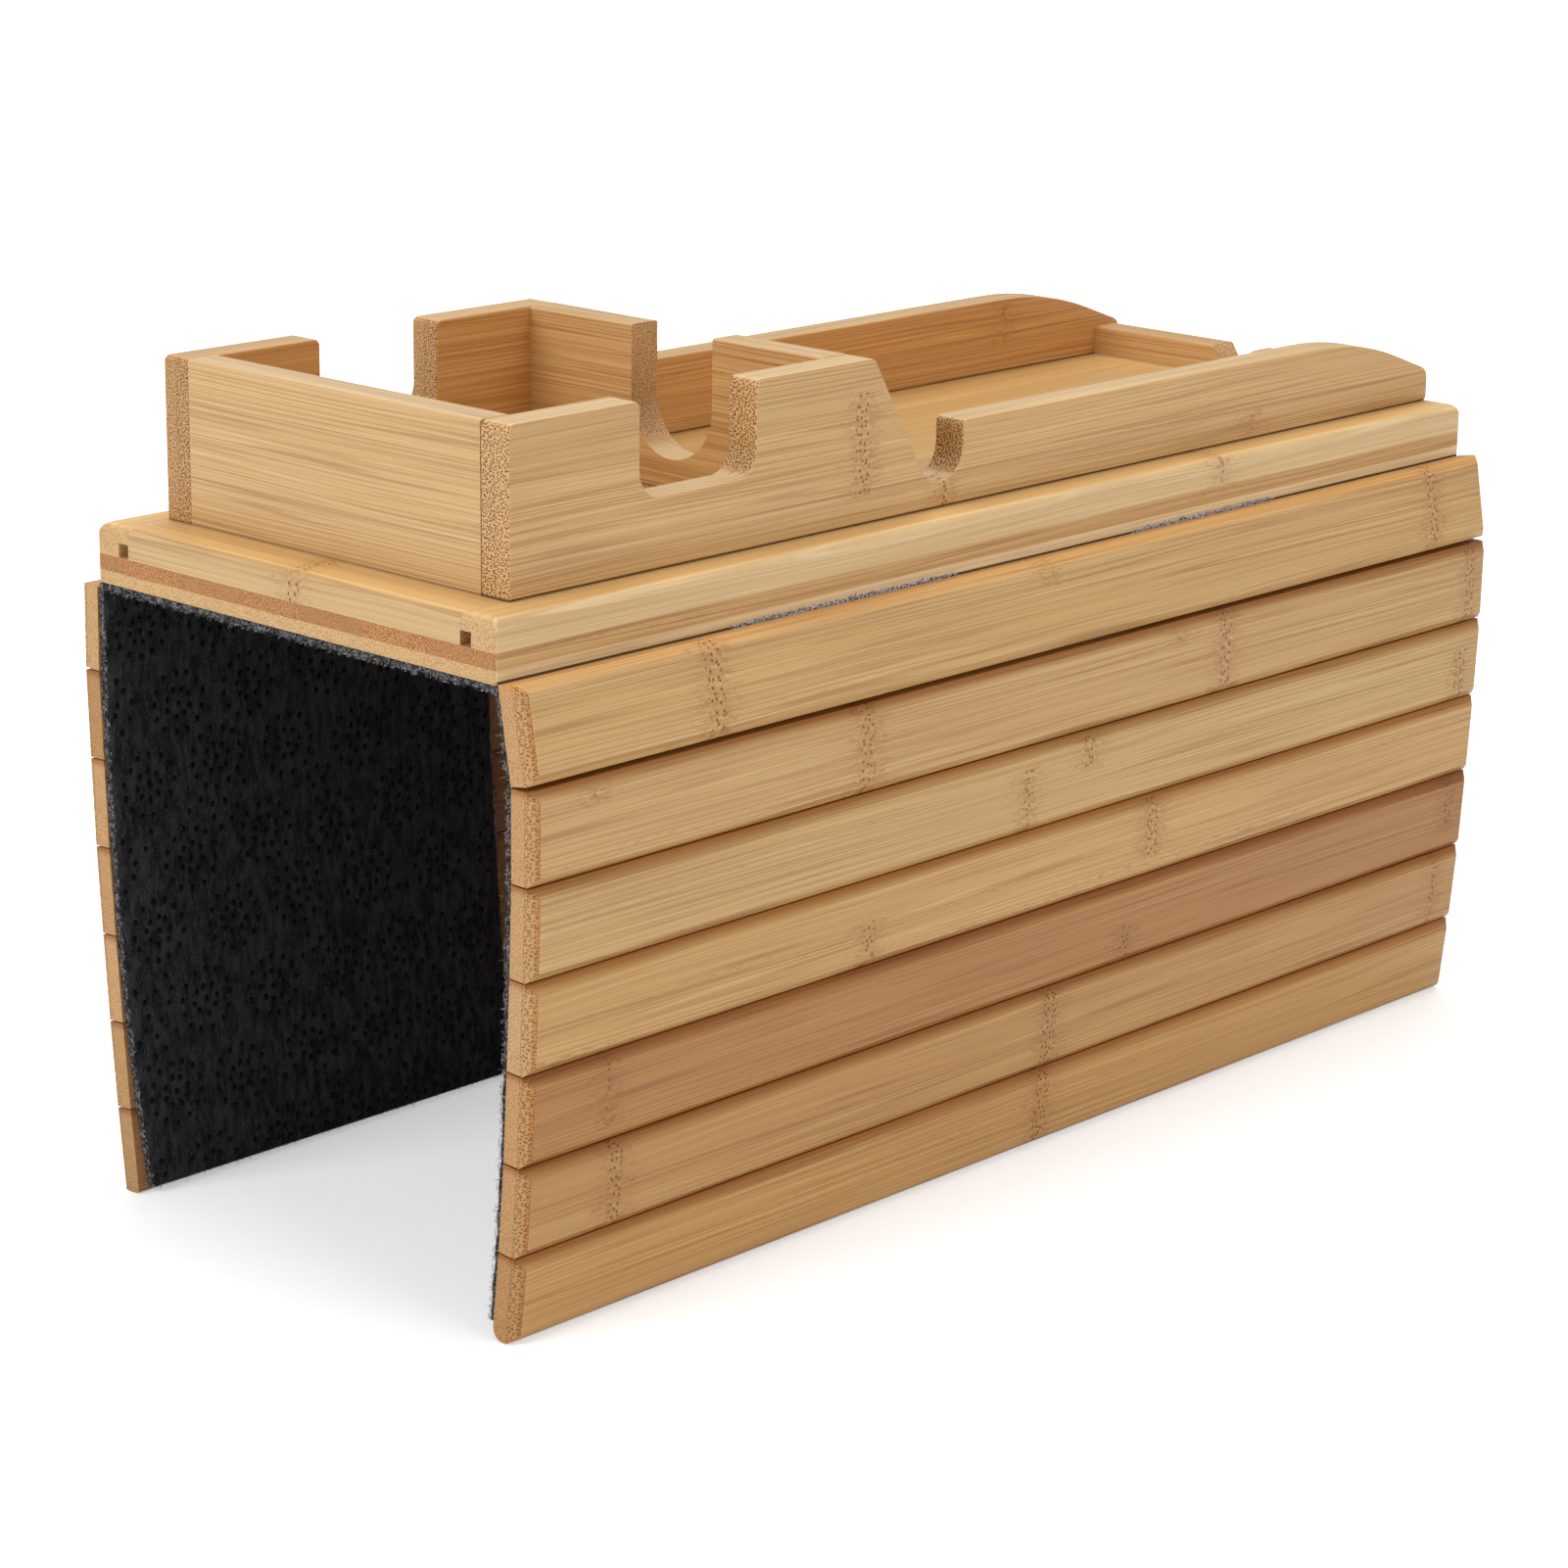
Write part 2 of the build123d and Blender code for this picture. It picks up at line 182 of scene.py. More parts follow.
class Paint:
    """A material as it is drawn up, one node at a time."""

    def __init__(self, name):
        self.material = bpy.data.materials.new(name)
        self.material.use_nodes = True
        self.tree = self.material.node_tree
        self.tree.nodes.clear()

    def node(self, kind, settings=None, sockets=None, output=0):
        """Adds a node, sets it up, feeds its sockets with values or links, and gives an output."""
        made = self.tree.nodes.new(kind)
        for key, value in (settings or {}).items():
            setattr(made, key, value)
        for key, value in (sockets or {}).items():
            if isinstance(value, Value):
                self.tree.links.new(value.socket, made.inputs[key])
            else:
                made.inputs[key].default_value = value
        return Value(self, made.outputs[output])

    def vector(self, x, y, z):
        return self.node("ShaderNodeCombineXYZ", {}, {0: x, 1: y, 2: z})

    def parts(self, vector):
        """The three numbers of a vector."""
        outputs = self.node("ShaderNodeSeparateXYZ", {}, {0: vector}).socket.node.outputs
        return [Value(self, outputs[i]) for i in range(3)]

    def noise(self, vector, scale=1.0, detail=2.0, roughness=0.5, distortion=0.0):
        return self.node("ShaderNodeTexNoise", {"noise_dimensions": "3D"},
                         {"Vector": vector, "Scale": scale, "Detail": detail,
                          "Roughness": roughness, "Distortion": distortion})

    def cells(self, x, y, randomness=1.0, feature="F1"):
        """The distance to the nearest of many points scattered over a plane, or with another
        feature to the nearest border between the cells round them."""
        return self.node("ShaderNodeTexVoronoi", {"feature": feature, "voronoi_dimensions": "2D"},
                         {"Vector": self.vector(x, y, 0.0), "Scale": 1.0, "Randomness": randomness})

    def scatter(self, number):
        """One random number from 0 to 1 for each value of a number."""
        return self.node("ShaderNodeTexWhiteNoise", {"noise_dimensions": "1D"}, {"W": number})

    def blend(self, factor, first, second, kind="MIX"):
        """Two colours mixed by a factor."""
        settings = {"data_type": "RGBA", "blend_type": kind, "clamp_factor": True}
        sockets = {0: factor, 6: colour(first), 7: colour(second)}
        return self.node("ShaderNodeMix", settings, sockets, output=2)

    def tinted(self, wood, tint):
        """A colour multiplied by another."""
        return self.blend(1.0, wood, tint, "MULTIPLY")

    def object_place(self):
        return self.node("ShaderNodeTexCoord", output="Object")

    def facing(self, way):
        """How far the surface faces a way: the cosine of the angle between them."""
        normal = self.node("ShaderNodeTexCoord", output="Normal")
        return self.node("ShaderNodeVectorMath", {"operation": "DOT_PRODUCT"}, {0: normal, 1: way},
                         output="Value")

    def bump(self, height, strength, distance):
        sockets = {"Height": height, "Strength": strength, "Distance": distance}
        return self.node("ShaderNodeBump", {}, sockets, output="Normal")

    def surface(self, sockets):
        """A Principled surface with these sockets, as the material's output."""
        return self.output(self.node("ShaderNodeBsdfPrincipled", {}, sockets))

    def output(self, shader):
        output = self.tree.nodes.new("ShaderNodeOutputMaterial")
        self.tree.links.new(shader.socket, output.inputs["Surface"])
        return self.material


def colour(value):
    """A colour with its alpha, or a link as it is."""
    return value if isinstance(value, Value) else (*value, 1.0)


# Bamboo


# Linear colours of the wood, its lines and knots, its cut ends and its faces, and of painted shade
# and highlight
LIGHT = (0.78, 0.56, 0.29)
PALE = (0.66, 0.43, 0.19)
DEEP = (0.54, 0.315, 0.120)
STREAK = (0.34, 0.150, 0.045)
HALO = (0.46, 0.235, 0.075)
# The knots' pits, whose dark also paints the shadow lines in the gaps at the panels' feet and the
# board's sides
PIT_AND_SHADOW = (0.10, 0.038, 0.012)
END_GROUND = (0.72, 0.46, 0.215)
END_PORE = (0.17, 0.055, 0.012)
# Painted shade below each seam between slats, and a painted highlight along the first slat's top edge
EDGE_SHADE = (0.66, 0.44, 0.22)
FIRST_EDGE_HIGHLIGHT = (1.12, 0.98, 0.70)
RIND = (0.86, 0.66, 0.42)
# Painted shade on the slats' faces turned inwards under the flaps
INNER_SHADE = (0.85, 0.60, 0.50)

# In millimetres: how far along the strip a knot disturbs the grain, and how far along the
# pattern is shifted from strip to strip at most
KNOT_REACH = 12.0
STRIP_SHIFT = 900.0

# How much of the depth adds to the place across, so that the lines move on down a side face
DEPTH_SHARE = 0.83
PLY_SEED = 7.0
LACQUER_ROUGHNESS = 0.42


def strip_measure(paint, across, along, origin):
    """Object coordinates turned to (across, along, deep) of a strip, in millimetres."""
    turn = Matrix([across, along, Vector(across).cross(Vector(along))])
    return paint.node("ShaderNodeMapping", {"vector_type": "POINT"},
                      {"Vector": paint.object_place(), "Location": turn @ Vector(origin) / -MM,
                       "Rotation": turn.to_euler("XYZ"), "Scale": (1 / MM, 1 / MM, 1 / MM)})


def bamboo(name, across, along, origin, tint=(1.0, 1.0, 1.0), seams=(), pitch=None,
           block_start=0.0, blocks=0.0, ply=None, ends=(0.6, 0.6), end_tint=(1.0, 1.0, 1.0),
           rind=None, lit_top=None, inner=None, contrast=0.10, knots=(), lines=1.0, flecks=0.5,
           painted_top_edge=0.0, painted_edge_tint=EDGE_SHADE, foot_shade=0.0, side_shadow_line=None, seed=0.0):
    """Lacquered bamboo. Thin lines are the borders between cells drawn out along the grain,
    paler lines the places where a noise passes a level, and dashes the peaks of a shorter noise.
    Round a knot the lines curl, the dashes crowd, and pits cross the strip in a row. Where the
    surface faces along the grain, the cut ends of the fibres show as speckles."""
    paint = Paint(name)
    x, y, z = paint.parts(strip_measure(paint, across, along, origin))

    # Which strip, and which ply through the depth
    strip = x * 0.0 + seed
    if pitch:
        block = ((x - block_start) / pitch).floor()
        strip = strip + block
    for seam in seams:
        strip = strip + (x > seam)
    outer = 0.0 if ply is None else z > ply
    strip = strip + PLY_SEED * outer
    strip_tone = paint.scatter(strip + 0.37)
    if blocks:
        odd = (block * 0.5 - (block * 0.5).floor()) * 2.0
        strip_tone = strip_tone * (1.0 - blocks) + odd * blocks
    y_own = y + paint.scatter(strip + 5.11) * STRIP_SHIFT

    # How near a knot is: 1 on its row of pits, 0 at its reach
    near = None
    for knot_y, knot_x, half, strength in knots:
        window = abs(x - knot_x).ramp(half + 1.0, half - 1.0)
        closeness = (1.0 - abs(y - knot_y) / KNOT_REACH) * window * strength
        near = closeness if near is None else near.larger(closeness)

    # The grain's own coordinate, which curls at the knots
    wander = paint.noise(paint.vector(x * 0.03, y_own * 0.008, z * 0.03), 1.0, 1.0)
    x_own = x + wander * 2.5
    if knots:
        curl = paint.noise(paint.vector(x * 0.42, y * 0.50, z * 0.42), 1.0, 1.0, 0.6)
        ragged = near + (curl - 0.5) * 0.5
        x_own = x_own + near.ramp(0.45, 0.95) * (curl - 0.5) * 2.6
    lane = x_own + z * DEPTH_SHARE

    def grain(finer, longer, detail=0.0):
        return paint.noise(paint.vector(lane * finer, y_own * longer, 0.5), 1.0, detail, 0.6)

    broad = grain(0.16, 0.004, 1.0)
    fine = grain(2.6, 0.016, 2.0)
    thin = grain(1.7, 0.008)
    short = grain(2.7, 0.27, 1.0)
    presence = grain(0.30, 0.010, 1.0)
    borders = paint.cells(lane * 0.80, y_own * 0.0042, 1.0, "DISTANCE_TO_EDGE")
    dark_line = borders.ramp(0.15, 0.04) * presence.ramp(0.36, 0.58)
    faint_line = abs(thin - 0.52).ramp(0.07, 0.015) * presence.ramp(0.66, 0.40)
    pale_line = abs(thin - 0.40).ramp(0.08, 0.02)
    crowd = presence.ramp(0.56, 0.70) * flecks
    if knots:
        crowd = crowd.larger(ragged.ramp(0.02, 0.62))
    dash = short.ramp(0.56, 0.66) * crowd

    wood = paint.blend(0.5 + (broad - 0.5) * 1.2 + (fine - 0.5) * 1.3, PALE, DEEP)
    wood = paint.blend(pale_line * 0.30, wood, LIGHT)
    wood = paint.blend(faint_line * (0.24 * lines), wood, STREAK)
    wood = paint.blend(dark_line * (0.50 * lines), wood, STREAK)
    wood = paint.blend(dash * 0.55, wood, STREAK)
    for seam in seams:
        wood = paint.blend(abs(x - seam).ramp(0.28, 0.08) * 0.4, wood, STREAK)
    height = (fine - 0.5) * 0.5 - dark_line * 0.35 - dash * 0.3

    if knots:
        mottle = paint.noise(paint.vector(x * 0.9, y * 0.5, z * 0.9), 1.0, 2.0, 0.7)
        pits = paint.cells((x + z * DEPTH_SHARE) * 0.48, y * 0.52, 0.85)
        wood = paint.blend(ragged.ramp(0.30, 0.90) * mottle.ramp(0.34, 0.60) * 0.55, wood, HALO)
        wood = paint.blend(ragged.ramp(0.60, 0.95) * mottle.ramp(0.50, 0.36) * 0.18, wood, LIGHT)
        row = near.ramp(0.70, 0.84)
        wood = paint.blend(pits.ramp(0.36, 0.18) * row * 0.55, wood, STREAK)
        pit = pits.ramp(0.20, 0.11) * row
        wood = paint.blend(pit * 0.85, wood, PIT_AND_SHADOW)
        height = height - pit * 0.7

    # Cut ends of the fibres, denser in the inner or the outer ply
    end = abs(paint.facing(along)).ramp(0.45, 0.80)
    bundles = paint.cells(x * 1.42, z * 1.34, 0.85)
    clouds = paint.noise(paint.vector(x * 0.5, y * 0.02, z * 0.7), 1.0, 2.0)
    density = ends[0] + (ends[1] - ends[0]) * outer + (clouds - 0.5) * 0.7
    if pitch:
        density = density * (0.55 + strip_tone)
    end_wood = paint.blend(strip_tone * 0.3 + clouds * 0.5, END_GROUND, DEEP)
    end_wood = paint.blend(bundles.ramp(0.43, 0.24) * density, end_wood, END_PORE)
    end_wood = paint.tinted(end_wood, end_tint)
    if rind is not None:
        end_wood = paint.blend(z.ramp(rind, rind + 0.9), end_wood, paint.tinted(end_wood, RIND))
    # Upward faces get a lighter tint: painted light and sheen from above
    if lit_top is not None:
        tint = paint.blend(paint.facing(Z).ramp(0.75, 0.97), tint, lit_top)
    # Faces turned inwards under a flap get painted shade
    if inner is not None:
        tint = paint.blend(paint.facing(inner).ramp(0.75, 0.95), tint, INNER_SHADE)
    wood = paint.tinted(wood, tint)
    wood = paint.blend(end, wood, end_wood)
    if ply is not None:
        wood = paint.blend(abs(z - ply).ramp(0.24, 0.08) * 0.5, wood, STREAK)
    height = height - end * bundles.ramp(0.5, 0.1) * 0.5

    # Painted shade below an upper edge, where a slat lies under the one above it, and on the first
    # slat a painted highlight along its top edge
    if painted_top_edge:
        wood = paint.blend(x.ramp(2.8, 0.2) * painted_top_edge, wood, paint.tinted(wood, painted_edge_tint))
    # Painted shadow in the gap at the foot of a caddy panel
    if foot_shade:
        wood = paint.blend(x.ramp(0.85, 0.50) * foot_shade, wood, PIT_AND_SHADOW)
    # Painted shadow line low on the board's sides, in the gap beside the first slat
    if side_shadow_line is not None:
        beside = abs(paint.facing(X)).ramp(0.75, 0.95)
        low = (z + (fine - 0.5) * 0.5).ramp(side_shadow_line + 0.15, side_shadow_line - 0.15)
        wood = paint.blend(low * beside * 0.95, wood, PIT_AND_SHADOW)

    # Tone of the strip
    toned = paint.node("ShaderNodeVectorMath", {"operation": "SCALE"},
                       {0: wood, "Scale": (1.0 - contrast / 2) + contrast * strip_tone})
    roughness = LACQUER_ROUGHNESS + (fine - 0.5) * 0.16 + end * 0.12
    return paint.surface({"Base Color": toned, "Roughness": roughness,
                          "Normal": paint.bump(height, 0.5, 0.05 * MM),
                          "Coat Weight": 0.20, "Coat Roughness": 0.20, "Specular IOR Level": 0.45})


def wear(node, material):
    """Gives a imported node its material."""
    slots = frame["nodes"][node].data.materials
    slots.clear()
    slots.append(material)


# Knots are (along, across, half width, strength), in millimetres from the foot of the caddy's
# panels, across from the middle of the board and along from the middle of the front felt pad.
right_panel_knots = [(65.0, 21.5, 14.0, 1.0), (97.5, 4.0, 4.5, 0.9), (233.0, 5.0, 4.0, 0.8)]
left_panel_knots = [(-29.0, 20.0, 12.0, 0.85), (151.0, 8.0, 8.0, 0.85), (263.0, 15.0, 7.0, 0.8)]
centre_knots = [(216.0, 40.0, 9.0, 0.8), (121.0, -10.0, 9.0, 0.8)]
RIGID = [
    ("side_panel_right", Z, Y, dict(tint=(1.04, 1.02, 1.01), lit_top=(1.20, 1.30, 1.50),
                                    seams=(9.0, 31.5), ply=-60.2, ends=(0.95, 1.2),
                                    end_tint=(1.02, 1.0, 0.95),
                                    knots=right_panel_knots, flecks=0.35, foot_shade=0.95, seed=3.0)),
    # The left panel's tint is darker and oranger than the right one's: painted shade from inside the
    # cup compartment
    ("side_panel_left", Z, Y, dict(tint=(0.93, 0.73, 0.51), lit_top=(1.06, 1.06, 1.08),
                                   seams=(12.0, 33.0), ply=60.2, ends=(0.95, 0.75),
                                   end_tint=(0.84, 0.77, 0.66),
                                   knots=left_panel_knots, flecks=0.2, foot_shade=0.6, seed=11.0)),
    ("front_panel", Z, X, dict(tint=(1.01, 1.03, 1.09), lit_top=(1.14, 1.28, 1.60),
                               seams=(13.0, 33.0), lines=1.1, flecks=0.3, foot_shade=0.6,
                               seed=21.0)),
    ("divider", Z, X, dict(tint=(0.965, 0.90, 0.82), lit_top=(1.08, 1.15, 1.25), seams=(14.0, 31.0),
                           lines=1.3, flecks=0.4, end_tint=(0.95, 0.9, 0.86), foot_shade=0.6,
                           seed=31.0)),
    ("end_panel", Z, X, dict(tint=(0.93, 0.84, 0.76), knots=[(18.0, 5.0, 5.0, 0.8)], seed=37.0)),
    ("stile_left", X, Y, dict(tint=(1.10, 1.18, 1.30), lit_top=(1.36, 1.36, 1.24), ends=(0.4, 0.4),
                              knots=[(61.0, -70.0, 8.0, 0.85)], lines=0.7, flecks=0.2, seed=41.0)),
    ("stile_right", X, Y, dict(tint=(1.16, 1.28, 1.50), lit_top=(1.30, 1.31, 1.21), ends=(0.4, 0.4),
                               knots=[(206.0, 70.0, 8.0, 0.8)], lines=0.4, flecks=0.1, seed=47.0)),
    ("front_rail", Y, X, dict(tint=(1.02, 1.05, 1.12), lit_top=(1.40, 1.40, 1.28),
                              knots=[(2.0, -69.0, 14.0, 0.95)], lines=0.7, flecks=0.3, seed=53.0)),
    ("rear_rail", Y, X, dict(tint=(1.06, 1.12, 1.20), seed=59.0)),
    ("centre_panel", X, Y, dict(tint=(0.95, 0.90, 0.73), pitch=19.5, knots=centre_knots, lines=0.6,
                                flecks=0.2, seed=61.0)),
    ("core_ply", X, Y, dict(tint=(1.02, 0.97, 0.86), pitch=24.0, block_start=4.3, blocks=0.6,
                            ends=(0.5, 0.5), contrast=0.36, end_tint=(0.75, 0.53, 0.35), lines=1.2,
                            flecks=1.0, seed=71.0)),
    # The bottom ply's tint lifts it far above the wood's own colour: painted light on its side band,
    # which lies in shade beside the first slats
    ("bottom_ply", X, Y, dict(tint=(1.40, 1.68, 2.25), ends=(0.35, 0.35),
                              end_tint=(0.98, 0.97, 0.92), lines=0.6, flecks=0.2,
                              side_shadow_line=-15.3, seed=83.0)),
    ("corner_dowels", Y, X, dict(seed=91.0)),
]

for node, across, along, look in RIGID:
    wear(node, bamboo(node + "_bamboo", across, along, (0.0, 0.0, board_top), **look))

# Tint and knots of each slat from the board down. Knots are placed along the board and down the
# slat.
RIGHT_SLATS = [
    ((0.95, 0.91, 0.85), 0.35, [(-12.0, 13.0, 14.0, 1.0), (119.0, 3.0, 4.5, 0.8),
                                (296.0, 12.0, 14.0, 0.95)]),
    ((0.92, 0.86, 0.79), 0.5, [(-56.0, 4.5, 2.5, 0.8), (42.4, 13.0, 14.0, 1.0),
                               (193.3, 12.0, 14.0, 1.0), (172.7, 4.5, 3.0, 0.8),
                               (314.0, 14.0, 14.0, 0.95)]),
    ((0.99, 0.97, 0.89), 0.4, [(134.3, 6.0, 5.0, 0.95), (108.4, 15.0, 10.0, 0.9),
                               (312.0, 16.0, 9.0, 1.0)]),
    ((0.95, 0.87, 0.73), 1.0, [(45.9, 18.0, 8.0, 0.95), (164.6, 9.5, 9.0, 1.0)]),
    ((0.70, 0.52, 0.34), 0.4, [(-49.0, 10.0, 10.0, 0.8), (155.3, 18.0, 6.0, 0.95),
                               (313.0, 9.0, 9.0, 0.95)]),
    ((0.90, 0.77, 0.60), 0.4, [(-45.2, 12.0, 14.0, 0.95), (124.7, 12.0, 14.0, 1.0),
                               (309.3, 12.0, 14.0, 0.85)]),
    ((0.97, 0.85, 0.66), 0.6, [(124.7, 12.0, 14.0, 1.0)]),
]
LEFT_SLATS = [
    ((1.0, 1.0, 1.0), 0.4, [(-80.0, 12.0, 14.0, 0.95), (70.0, 8.0, 8.0, 0.9)]),
    ((0.97, 0.94, 0.90), 0.6, [(20.0, 12.0, 14.0, 1.0), (-250.0, 14.0, 8.0, 0.95)]),
    ((1.0, 1.0, 1.0), 0.3, [(-140.0, 9.0, 9.0, 0.95)]),
    ((0.92, 0.84, 0.74), 0.5, [(-30.0, 12.0, 14.0, 1.0), (-290.0, 12.0, 14.0, 0.95)]),
    ((1.0, 0.98, 0.95), 0.4, [(55.0, 16.0, 8.0, 0.9), (-200.0, 12.0, 14.0, 1.0)]),
    ((0.93, 0.86, 0.78), 0.7, [(-90.0, 7.0, 7.0, 0.95)]),
    ((0.97, 0.94, 0.90), 0.5, [(-10.0, 12.0, 14.0, 0.95), (-230.0, 12.0, 14.0, 1.0)]),
]

# Tint of each slat's cut ends, from the board down
END_TINTS = {-1: [(0.88, 0.84, 0.78), (0.70, 0.58, 0.44), (0.84, 0.77, 0.70), (0.80, 0.70, 0.58),
                  (0.86, 0.80, 0.74), (0.76, 0.66, 0.54), (0.72, 0.62, 0.50)],
             1: [(0.86, 0.77, 0.70), (0.86, 0.76, 0.66), (0.86, 0.78, 0.70), (0.88, 0.84, 0.82),
                 (0.84, 0.74, 0.62), (0.84, 0.74, 0.62), (0.80, 0.67, 0.54)]}

for side, looks in ((-1, LEFT_SLATS), (1, RIGHT_SLATS)):
    for number, (tint, flecks, knots) in enumerate(looks):
        down, out = slat_directions(side, number)
        node = f"slat_{WORD[side]}_{number + 1}"
        hinge = CHAINS[side][0][number]
        wear(node, bamboo(node + "_bamboo", tuple(down), (0.0, float(side), 0.0),
                          (hinge[0], 0.0, hinge[2]), tint=tint, ply=4.6, ends=(0.35, 0.8), rind=6.5,
                          end_tint=END_TINTS[side][number], inner=tuple(-out), knots=knots,
                          flecks=flecks, painted_top_edge=1.0,
                          painted_edge_tint=EDGE_SHADE if number else FIRST_EDGE_HIGHLIGHT,
                          seed=100.0 + 13.0 * number + 3.0 * side))


def screw_steel():
    """Zinc-plated steel, faintly blotched."""
    paint = Paint("zinc_steel")
    cloud = paint.noise(paint.object_place(), 900.0, 3.0, 0.6)
    grey = paint.blend(cloud.ramp(0.3, 0.7), (0.50, 0.50, 0.49), (0.68, 0.68, 0.66))
    return paint.surface({"Base Color": grey, "Metallic": 1.0, "Roughness": 0.28 + cloud * 0.2})


wear("caddy_screws", screw_steel())


# Felt


def needle_felt():
    """Black needle felt: a dark matted ground with a haze of paler fibres, longer down the pad."""
    paint = Paint("needle_felt")
    place = paint.object_place()
    x, y, z = paint.parts(place)
    haze = paint.noise(paint.vector(x * 0.6, y, z * 0.35), 420.0, 3.0, 0.65)
    tuft = paint.noise(place, 1100.0, 3.0, 0.7)
    strands = paint.noise(paint.vector(x * 0.3, y, z * 0.25), 2600.0, 2.0, 0.6, 1.2)
    crossed = paint.noise(paint.vector(x, y * 0.35, z), 2400.0, 2.0, 0.6, 1.5)
    fibre = strands.ramp(0.54, 0.72).larger(crossed.ramp(0.60, 0.78))
    ground = paint.blend(haze.ramp(0.34, 0.68), (0.0085, 0.0082, 0.0086), (0.052, 0.049, 0.050))
    ground = paint.blend(tuft.ramp(0.54, 0.76) * 0.6, ground, (0.078, 0.075, 0.078))
    ground = paint.blend(tuft.ramp(0.44, 0.28) * 0.6, ground, (0.005, 0.005, 0.005))
    shade = paint.blend(fibre * 0.45, ground, (0.14, 0.138, 0.145))
    return paint.surface({"Base Color": shade, "Roughness": 0.95, "Specular IOR Level": 0.10,
                          "Normal": paint.bump(tuft + fibre * 0.6, 0.9, 0.25 * MM),
                          "Sheen Weight": 0.12, "Sheen Roughness": 0.45})


def cut_felt():
    """The pads' cut edges, where the fibres stand out grey over dark gaps."""
    paint = Paint("cut_felt")
    place = paint.object_place()
    haze = paint.noise(place, 900.0, 3.0, 0.7)
    flecks = paint.noise(place, 1900.0, 2.0, 0.7)
    grey = paint.blend(haze.ramp(0.40, 0.60), (0.012, 0.012, 0.012), (0.055, 0.053, 0.052))
    grey = paint.blend(flecks.ramp(0.53, 0.66) * 0.85, grey, (0.26, 0.255, 0.25))
    grey = paint.blend(flecks.ramp(0.44, 0.34) * 0.9, grey, (0.010, 0.010, 0.012))
    return paint.surface({"Base Color": grey, "Roughness": 0.95, "Specular IOR Level": 0.1,
                          "Normal": paint.bump(flecks, 1.0, 0.3 * MM)})


def grip_dot():
    """A bead of dull black rubber printed on the felt."""
    paint = Paint("grip_dot")
    fleck = paint.noise(paint.object_place(), 1800.0, 2.0)
    black = paint.blend(fleck, (0.002, 0.002, 0.002), (0.007, 0.007, 0.007))
    return paint.surface({"Base Color": black, "Roughness": 0.30 + fleck * 0.2,
                          "Specular IOR Level": 0.14})


def loose_fibre():
    """Single fibres that stand out of the felt's edges."""
    paint = Paint("loose_fibre")
    fleck = paint.noise(paint.object_place(), 700.0, 2.0)
    grey = paint.blend(fleck.ramp(0.42, 0.58), (0.03, 0.03, 0.031), (0.50, 0.495, 0.50))
    return paint.surface({"Base Color": grey, "Roughness": 0.8, "Specular IOR Level": 0.2})


def pale_fibre():
    """Fibres that the light catches in a seam, with black gaps between them."""
    paint = Paint("pale_fibre")
    fleck = paint.noise(paint.object_place(), 1500.0, 2.0, 0.6)
    grey = paint.blend(fleck.ramp(0.42, 0.52), (0.02, 0.02, 0.02), (0.80, 0.77, 0.80))
    return paint.surface({"Base Color": grey, "Roughness": 0.8, "Specular IOR Level": 0.2})


FELT_MATERIALS = [needle_felt(), cut_felt(), grip_dot(), loose_fibre(), pale_fibre()]
FACE, CUT, DOT, FIBRE, SEAM_FIBRE = range(5)
FLAT_SLOTS = (CUT, FIBRE, SEAM_FIBRE)
SHARP_ANGLE = radians(55)

# The mesh of the pads: its step along the section, and its points along the board
FLAP_STEP = 1.6 * MM
BOARD_STEP = 2.2 * MM
COLUMNS = 100

# A seam's stretch starts this far above its hinge, and bends with this radius and so many points
CUT_ABOVE_BOARD_SEAM, CUT_ABOVE_SEAM = 8.0 * MM, 4.0 * MM
BOARD_SEAM_RADIUS, SEAM_RADIUS = 2.0 * MM, 8.0 * MM
BOARD_SEAM_POINTS, SEAM_POINTS = 9, 3

# How far from its hinge on either side a stretch reaches; the places it gives are worked out below
# but not used
BOARD_SEAM_REACH, SEAM_REACH = 4.0 * MM, 3.0 * MM

# Height of the lumps and of the waves in the cut edge, and how wide and deep its rounding is
LUMPS = 0.14 * MM
EDGE_WAVES = 0.16 * MM
ROUNDING_WIDTH, ROUNDING_DEPTH = 1.8 * MM, 0.8 * MM

# Loose fibres for each millimetre of cut edge, of the foot, and of the board's seam
EDGE_FIBRES, FOOT_FIBRES, SEAM_FIBRES = 11.0, 7.0, 42.0


class Mesh:
    """Points and faces gathered from several closed shapes, each face with its material."""

    def __init__(self):
        self.points = []
        self.faces = []
        self.slots = []
        self.count = 0

    def add(self, points, *groups):
        """Adds points, and groups of faces that count from the first of them, with a material."""
        self.points.append(points.reshape(-1, 3))
        for faces, slot in groups:
            self.faces += (faces + self.count).tolist()
            self.slots += [slot] * len(faces)
        self.count += len(self.points[-1])

    def build(self, name):
        mesh = bpy.data.meshes.new(name)
        mesh.from_pydata(np.concatenate(self.points).tolist(), [], self.faces)
        for material in FELT_MATERIALS:
            mesh.materials.append(material)
        mesh.polygons.foreach_set("material_index", self.slots)
        mesh.polygons.foreach_set("use_smooth", [slot not in FLAT_SLOTS for slot in self.slots])
        mesh.update()
        mesh.set_sharp_from_angle(angle=SHARP_ANGLE)
        return added(name, mesh)


def quads(a, b):
    """Quads between two matching rows of point numbers."""
    return np.stack([a[:-1], a[1:], b[1:], b[:-1]], -1)


def repeated(faces, copies, points):
    """The faces of one shape, numbered on for each of its copies of so many points."""
    offsets = (np.arange(copies) * points)[:, None, None]
    return (faces[None] + offsets).reshape(-1, faces.shape[1])


def unit(rows):
    """Each row divided by its length."""
    return rows / np.linalg.norm(rows, axis=-1, keepdims=True)


